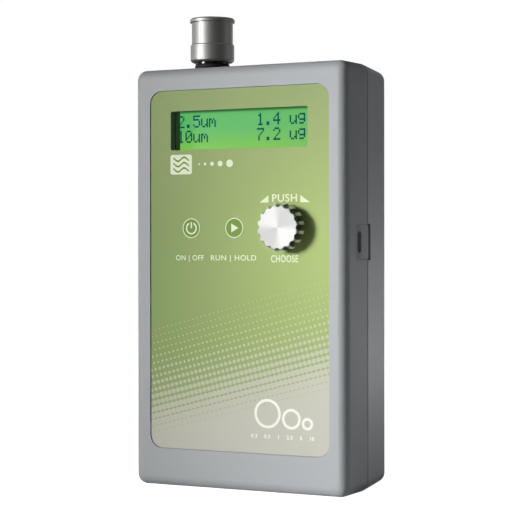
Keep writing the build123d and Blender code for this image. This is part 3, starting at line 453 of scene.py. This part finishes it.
legends = [
    standing(drawn_words("ON | OFF", 2.8, 12.6), -21.3, 90.45),
    standing(drawn_words("RUN | HOLD", 2.8, 20.0), -1.9, 90.45),
    standing(drawn_words("CHOOSE", 2.8, 11.6), 20.3, 90.45),
    standing(drawn_words("PUSH", 3.0, 10.6), 20.3, 113.8),
    standing(drawn_shape([(-1.9, -1.3), (1.9, -1.3), (1.9, 1.5)]), 11.5, 113.4),
    standing(drawn_shape([(-2.0, -1.3), (2.0, -1.3), (-2.0, 1.5)]), 29.0, 113.3),
]
printed("control_legends", legends, "case", pale_ink)

# The pictogram of an air stream, with five grains of dust from fine to coarse beside it.
air_x, air_z = -25.2, 127.6
printed("air_sign_plate", [standing(drawn_plate(9.7, 7.8, 0.9), air_x, air_z)], "case", pale_ink)
streams = [standing(drawn_strip(7.0, 0.75, 0.75, 1.25), air_x, air_z + rise, ink_thickness)
           for rise in (-2.1, 0.0, 2.1)]
printed("air_sign_streams", streams, "case", green_ink)
grains = [standing(drawn_disc(radius), x, air_z)
          for radius, x in ((0.35, -17.0), (0.55, -14.4), (0.8, -11.3), (1.1, -7.7), (1.45, -3.5))]
printed("air_sign_grains", grains, "case", pale_ink)
rings = [standing(drawn_ring(outer, outer - 1.1), x, 25.0 + outer)
         for outer, x in ((5.7, 12.9), (4.0, 23.1), (2.4, 29.9))]
printed("grain_rings", rings, "case", pale_ink)
printed("size_scale", [standing(drawn_words("0.3    0.5    1    2.5    5    10", 1.5, 27.0), 19.3, 21.9)],
        "case", pale_ink)

# ---------------------------------------------------------------- display
# A sixteen by two character module behind a hard-coated lens.  A foam gasket closes the gap between
# lens and glass, so the window shows a dark wall, and a light guide glows green through the glass.

clear_lens, start = new_finish("clear_lens", {"Alpha": 0.06, "Specular IOR Level": 0.5})
place = points_of(start)[0]
feed(clear_lens, {"Base Color": blended(mottle(place, 0.1), paint(14, 18, 14), paint(20, 24, 20)),
                  "Roughness": 0.05 + mottle(place, 0.08) * 0.05})
dress(clear_lens, "display_window")

# The foam is coloured lighter and greener than black foam: painted light from the display on the shaded wall.
black_foam, start = new_finish("black_foam", {"Roughness": 0.95, "Specular IOR Level": 0.2})
place = points_of(start)[0]
cells = place.node("ShaderNodeTexVoronoi", None, {"Vector": place, "Scale": 3.0}, output="Distance")
feed(black_foam, {"Base Color": blended(cells, paint(96, 114, 98), paint(118, 134, 118)),
                  "Normal": relief(cells, 0.08)})
dress(black_foam, "display_gasket")

black_metal, start = new_finish("black_metal", {"Metallic": 0.6, "Roughness": 0.45})
place = points_of(start)[0]
speck = mottle(place, 1.5)
feed(black_metal, {"Base Color": blended(speck, paint(26, 27, 28), paint(40, 41, 43)),
                   "Normal": relief(speck, 0.01)})
dress(black_metal, "lcd_bezel")

display_glass, start = new_finish("display_glass", {"Roughness": 0.3, "Specular IOR Level": 0.1,
                                                    "Emission Strength": 1.0})
place, across, deep, up = points_of(start)
glow = blended(step(up, 133.0, 143.0), paint(128, 204, 84), paint(98, 192, 104))
glow = blended(step(across, 8.0, 34.0) * 0.5, glow, paint(118, 190, 104))
# A dark band along the top edge of the glow is painted shadow of the window's top wall.
glow = blended(step(up, 147.9, 148.9) * 0.8, glow, paint(34, 84, 48))
feed(display_glass, {"Base Color": blended(mottle(place, 0.5), paint(10, 20, 12), paint(14, 26, 16)),
                     "Emission Color": glow})
dress(display_glass, "lcd_glass")

light_guide, start = new_finish("light_guide", {"Roughness": 0.3, "Emission Strength": 0.4})
place = points_of(start)[0]
spots = mottle(place, 1.2)
feed(light_guide, {"Base Color": blended(spots, paint(190, 220, 170), paint(220, 240, 205)),
                   "Emission Color": paint(120, 200, 90)})
dress(light_guide, "lcd_backlight")

# The film's clear window is wider than the display. A dark margin printed at its left edge is painted shade:
# it stands in for the shaded side wall of the window, with a painted green tinge of the display's light, and
# it hides the foam.
margin_width, margin_height, margin_corner, margin_edge_x, window_middle_z = 1.6, 15.4, 0.8, -28.28, 141.0
margin = drawn_plate(2 * margin_width, margin_height, margin_corner)
for vertex in margin.data.vertices:
    vertex.co.x = min(vertex.co.x, 0.0)
painted_wall_shade, start = new_finish("painted_wall_shade", {"Specular IOR Level": 0.0})
place = points_of(start)[0]
speck = mottle(place, 1.6)
# Its dark greenish colour is painted shade of the window's side wall.
feed(painted_wall_shade, {"Base Color": blended(speck, paint(34, 49, 37), paint(40, 55, 43)),
                  "Roughness": 0.5 + speck * 0.08})
printed("window_wall_shade", [standing(margin, margin_edge_x, window_middle_z)], "case", painted_wall_shade)

# The characters are square dots of dark crystal, five wide and seven high, on the face of the glass.

glyphs = {
    "0": "01110 10001 10011 10101 11001 10001 01110",
    "1": "00100 01100 00100 00100 00100 00100 01110",
    "2": "01110 10001 00001 00010 00100 01000 11111",
    "4": "00010 00110 01010 10010 11111 00010 00010",
    "5": "11111 10000 11110 00001 00001 10001 01110",
    "7": "11111 00001 00010 00100 01000 01000 01000",
    ".": "00000 00000 00000 00000 00000 01100 01100",
    "u": "00000 00000 10001 10001 10001 10011 01101",
    "m": "00000 00000 11010 10101 10101 10001 10001",
    "g": "00000 01111 10001 10001 01111 00001 01110",
}
readings = ["2.5um     1.4 ug", "10um      7.2 ug"]
character_pitch, first_character = 3.56, -30.5
dot_step_x, dot_step_z, dot_width, dot_height = 0.62, 0.70, 0.66, 0.70
row_tops = (147.4, 141.45)
glass_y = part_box("lcd_glass")[0].y

bpy.ops.object.select_all(action="DESELECT")
bpy.ops.mesh.primitive_plane_add(size=0.001)
crystal_dot = bpy.context.active_object
crystal_dot.data.transform(Matrix.Diagonal((dot_width, dot_height, 1, 1)))
bpy.ops.object.mode_set(mode="EDIT")
bpy.ops.mesh.select_all(action="SELECT")
bpy.ops.mesh.bevel(offset=0.00007, segments=1, affect="VERTICES")
bpy.ops.object.mode_set(mode="OBJECT")
dots_on_glass = []
for reading, row_top in zip(readings, row_tops):
    for index, letter in enumerate(reading):
        for row, line in enumerate(glyphs.get(letter, "").split()):
            for column, lit in enumerate(line):
                if lit == "1":
                    dot = crystal_dot.copy()
                    dot.data = crystal_dot.data.copy()
                    bpy.context.scene.collection.objects.link(dot)
                    upright(dot, first_character + index * character_pitch + (column + 0.5) * dot_step_x,
                            row_top - (row + 0.5) * dot_step_z, glass_y)
                    dots_on_glass.append(dot)
bpy.data.objects.remove(crystal_dot)
crystal_ink, start = new_finish("crystal_ink", {"Specular IOR Level": 0.0, "Emission Strength": 1.0})
place = points_of(start)[0]
speck = mottle(place, 1.0)
feed(crystal_ink, {"Base Color": blended(speck, paint(4, 30, 32), paint(8, 36, 38)),
                   "Emission Color": blended(speck, paint(6, 78, 78), paint(12, 92, 88)),
                   "Roughness": 0.6 + speck * 0.1})
bpy.ops.object.select_all(action="DESELECT")
for dot in dots_on_glass:
    dot.select_set(True)
bpy.context.view_layer.objects.active = dots_on_glass[0]
bpy.ops.object.join()
characters = bpy.context.active_object
characters.name = "display_characters"
characters.data.name = "display_characters"
thicken(characters, 0.00002)
characters.data.materials.append(crystal_ink)
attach(characters, "case")

# ---------------------------------------------------------------- key prints
# Each key is a cap in the panel's film with the same ink.  A pale ring marks its edge, and inside it
# is a darker disc with the usual sign for power or for start.


def middle_of(node):
    """The middle of a CAD node across and up, in millimetres."""
    low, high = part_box(node)
    return (low.x + high.x) * 500, (low.z + high.z) * 500


def on_disc(drawing, x, z):
    """Stands a drawing on the green disc of a key."""
    return standing(drawing, x, z, ink_thickness)


def broken_ring(outer, inner, gap_degrees):
    """A ring that is open at its top: its faces near the top are taken away."""
    ring = drawn_ring(outer, inner)
    bpy.ops.object.mode_set(mode="EDIT")
    bpy.ops.mesh.select_mode(type="FACE")
    bpy.ops.object.mode_set(mode="OBJECT")
    for face in ring.data.polygons:
        face.select = face.center.y > 0 and abs(face.center.x) < face.center.y * sin(radians(gap_degrees))
    bpy.ops.object.mode_set(mode="EDIT")
    bpy.ops.mesh.delete(type="FACE")
    bpy.ops.object.mode_set(mode="OBJECT")
    return ring


power_x, control_z = middle_of("power_key")
start_x, control_z = middle_of("start_key")
for name, x, body in (("power", power_x, "power_button"), ("start", start_x, "start_button")):
    printed(name + "_key_disc", [standing(drawn_disc(3.6, 64), x, control_z)], body, green_ink)
power_sign = [on_disc(drawn_ring(3.90, 3.55), power_x, control_z),
              on_disc(broken_ring(2.45, 1.85, 34.0), power_x, control_z),
              on_disc(drawn_shape([(-0.3, 0.0), (0.3, 0.0), (0.3, 2.4), (-0.3, 2.4)]), power_x, control_z)]
printed("power_key_sign", power_sign, "power_button", pale_ink)
start_sign = [on_disc(drawn_ring(3.90, 3.55), start_x, control_z),
              on_disc(drawn_shape([(-1.3, -1.75), (1.85, 0.0), (-1.3, 1.75)]), start_x, control_z)]
printed("start_key_sign", start_sign, "start_button", pale_ink)

# ---------------------------------------------------------------- knob
# A turned aluminium knob with flutes milled round its rim.  The face keeps the rings of the lathe
# tool, and the fan of light that such rings give is painted into its colour as a painted sheen.  The lands of
# the rim are painted bright as painted highlights.

knob_low, knob_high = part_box("knob")
knob_x, knob_z = middle_of("knob")
knob_radius = (knob_high.x - knob_low.x) * 500
ring_radians_per_mm = 21.0
land_from, land_whole = knob_radius - 0.75, knob_radius - 0.25
knob_aluminium, start = new_finish("knob_aluminium", {"Specular IOR Level": 0.3})
place, across, deep, up = points_of(start)
aside, above = across - knob_x, up - knob_z
radius = (aside * aside + above * above).root()
rings = (radius * ring_radians_per_mm + mottle(place, 0.6) * 2.0).wave()
rim = step(deep - knob_low.y * 1000, 0.25, 0.9)
# Painted highlights: the lands of the rim are painted light and less metallic than the flutes.
land_highlight = step(radius, land_from, land_whole)
# Painted sheen: two opposite quarters of the face are painted lighter, as the lathe rings' fan of light.
sheen_fan = 0.5 - aside * above / (radius * radius + 0.05)
face_painted_sheen = blended(step(sheen_fan, 0.15, 0.85), paint(203, 203, 202), paint(235, 235, 234))
face_painted_sheen = blended(mottle(place, 0.5) * 0.2, face_painted_sheen, paint(206, 206, 206))
rim_painted_highlight = blended(land_highlight, paint(120, 121, 118), paint(246, 246, 242))
feed(knob_aluminium, {"Base Color": blended(rim, face_painted_sheen, rim_painted_highlight),
                      "Metallic": rim * (0.95 - land_highlight * 0.75),
                      "Roughness": 0.62 + mottle(place, 1.2) * 0.06 - rim * 0.3,
                      "Normal": relief(rings * 0.5 + 0.5, 0.006)})
dress(knob_aluminium, "knob")

# ---------------------------------------------------------------- inlet nozzle
# Turned from bar and left bright, with a thin rim, a long barrel and a wider skirt.  A black collar
# clamps it to the top of the rear shell over an O-ring, and a brass nut holds it from inside.

nozzle_metal, start = new_finish("nozzle_metal", {"Metallic": 1.0})
place = points_of(start)[0]
brushed = mottle(place.node("ShaderNodeMapping", None, {"Vector": place, "Scale": (0.2, 0.2, 4.0)}), 1.0)
feed(nozzle_metal, {"Base Color": blended(mottle(place, 0.4), paint(176, 176, 175), paint(186, 185, 183)),
                    "Roughness": 0.50 + brushed * 0.08,
                    "Normal": relief(brushed, 0.002)})
dress(nozzle_metal, "inlet_nozzle")


def worked(name, nodes, light, dark, patches, depth, rough, metal=0.0):
    """A finish that clouds between two colours, with patches to the millimetre and a relief."""
    finish, start = new_finish(name, {"Metallic": metal})
    place = points_of(start)[0]
    cloud = mottle(place, patches, 3.0)
    feed(finish, {"Base Color": blended(cloud, paint(*light), paint(*dark)),
                  "Roughness": rough + cloud * 0.12, "Normal": relief(cloud, depth)})
    dress(finish, *nodes)


worked("collar_black", ["nozzle_collar"], (12, 12, 13), (20, 20, 22), 1.8, 0.004, 0.16)
worked("black_plastic", ["encoder_rotor", "encoder_base", "charger_jack", "pump_head", "power_plunger",
                         "power_switch", "start_plunger", "start_switch"],
       (30, 30, 31), (46, 46, 48), 1.8, 0.012, 0.34)
worked("brass", ["nozzle_nut", "flow_trimmer_screw", "laser_module"], (196, 164, 92), (222, 190, 118), 0.8,
       0.006, 0.26, 1.0)
worked("seal_rubber", ["nozzle_seal"], (22, 22, 22), (34, 34, 34), 2.0, 0.01, 0.6)

# ---------------------------------------------------------------- boards and sockets
# Glass-fibre boards with green solder mask carry black packages, plated sockets and a blue trimmer.
# The sockets and the trimmer's screw are reached through the left side of the case.

circuit_board, start = new_finish("circuit_board", {"Roughness": 0.35})
place = points_of(start)[0]
tracks = place.node("ShaderNodeTexBrick", {"offset": 0.5, "squash": 1.0},
                    {"Vector": place.node("ShaderNodeMapping", None, {"Vector": place,
                     "Rotation": (radians(90), 0.0, 0.0)}),
                     "Scale": 0.35, "Mortar Size": 0.04, "Color1": paint(20, 84, 44),
                     "Color2": paint(24, 92, 50), "Mortar": paint(44, 128, 66)})
feed(circuit_board, {"Base Color": tracks})
dress(circuit_board, "main_board", "lcd_board", "detector_board")
worked("chip_black", ["board_parts"], (34, 34, 36), (48, 48, 50), 1.2, 0.01, 0.45)
worked("encoder_metal", ["encoder_body", "encoder_shaft", "usb_socket", "photodetector"], (176, 178, 182),
       (196, 198, 202), 0.9, 0.006, 0.28, 1.0)
worked("trimmer_blue", ["flow_trimmer_body"], (34, 70, 150), (44, 84, 168), 1.2, 0.01, 0.4)

# ---------------------------------------------------------------- air path
# Air goes down a silicone tube into a black anodised sensor body with a gold-coated mirror, and on
# through the pump to a filter.  The battery and the pump's motor are strapped in below.

worked("anodised_black", ["sensor_block", "sensor_cover", "light_trap"], (24, 25, 27), (38, 39, 42), 1.4,
       0.008, 0.4, 0.7)
worked("mirror_coat", ["collecting_mirror"], (214, 196, 140), (226, 208, 150), 0.3, 0.001, 0.06, 1.0)
worked("motor_steel", ["pump_motor", "battery_strap", "pump_strap"], (158, 160, 162), (180, 182, 184), 0.7,
       0.006, 0.3, 1.0)
worked("filter_plastic", ["exhaust_filter"], (222, 224, 220), (236, 238, 234), 0.8, 0.01, 0.35)
worked("tube_silicone", ["inlet_tube", "suction_tube", "exhaust_tube"], (206, 210, 206), (226, 228, 224), 0.6,
       0.01, 0.3)
worked("battery_wrap", ["battery_pack"], (38, 86, 62), (46, 98, 70), 0.5, 0.02, 0.4)

# ---------------------------------------------------------------- screws
# Screws hold the shells, the boards, the sensor and the straps, and one holds the knob on its shaft.
# They are of zinc-plated steel, with a little cloud in the plating.

worked("screw_steel", ["case_screws", "panel_screws", "sensor_screws", "strap_screws", "knob_set_screw",
                       "pump_crank"], (150, 152, 156), (178, 180, 184), 1.1, 0.006, 0.28, 1.0)
